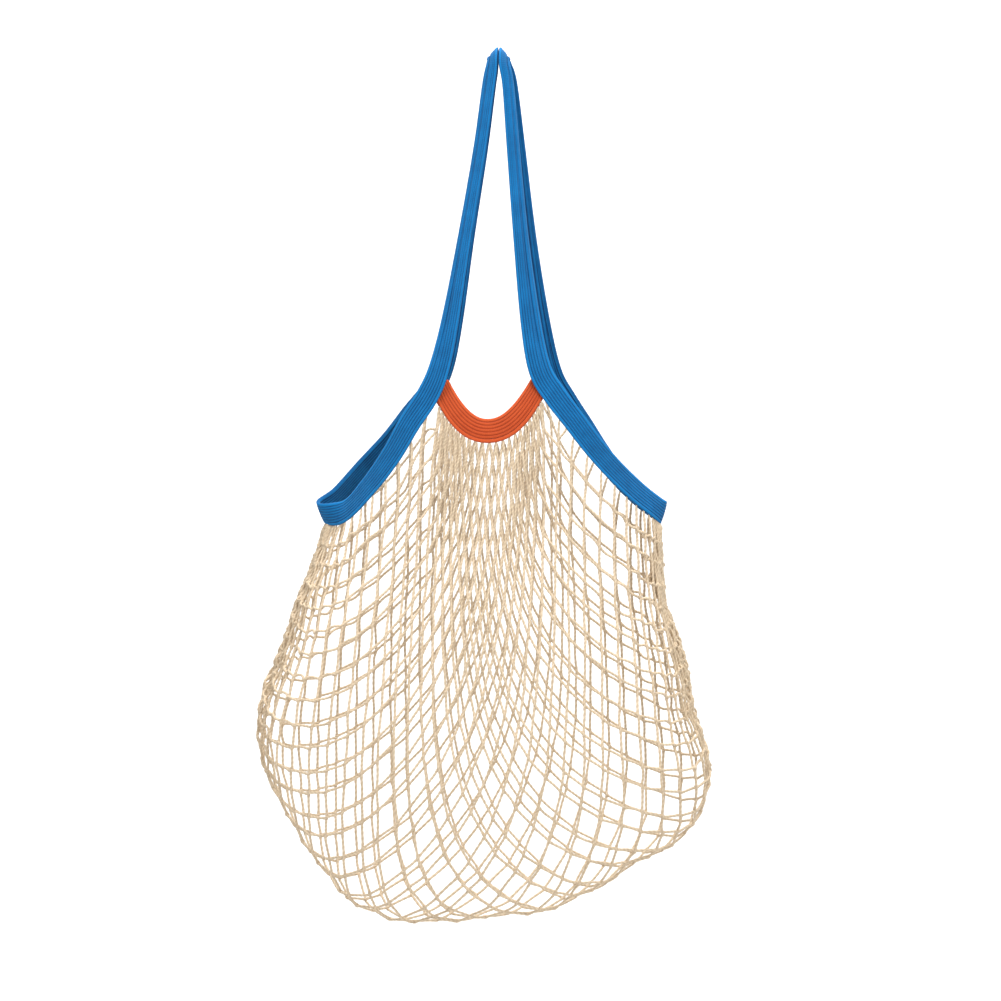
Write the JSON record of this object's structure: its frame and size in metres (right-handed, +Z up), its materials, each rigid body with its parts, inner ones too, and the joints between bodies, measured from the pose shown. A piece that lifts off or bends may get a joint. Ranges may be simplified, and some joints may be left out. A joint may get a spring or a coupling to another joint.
{
  "type": "net shopping bag",
  "caption": "Cotton string shopping bag in diamond net, hanging full and open, gathered on knitted mouth bands and on looped straps that bind its sides and go over the shoulder.",
  "frame": {"origin": "the point under the tops of the straps where the bag hangs", "axes": "+Z up, +X to the right as seen from the front, -Y towards the front"},
  "size_m": [0.3822, 0.1897, 0.7521],
  "materials": {
    "ecru_net": "soft twisted cotton cord, undyed",
    "orange_band": "ribbed knitted cotton band, orange",
    "blue_band": "ribbed knitted cotton band, blue"
  },
  "bodies": {
    "root": {"net_body": "ecru_net", "front_mouth_band": "orange_band", "back_mouth_band": "orange_band", "left_strap": "blue_band", "right_strap": "blue_band"}
  },
  "joints": []
}
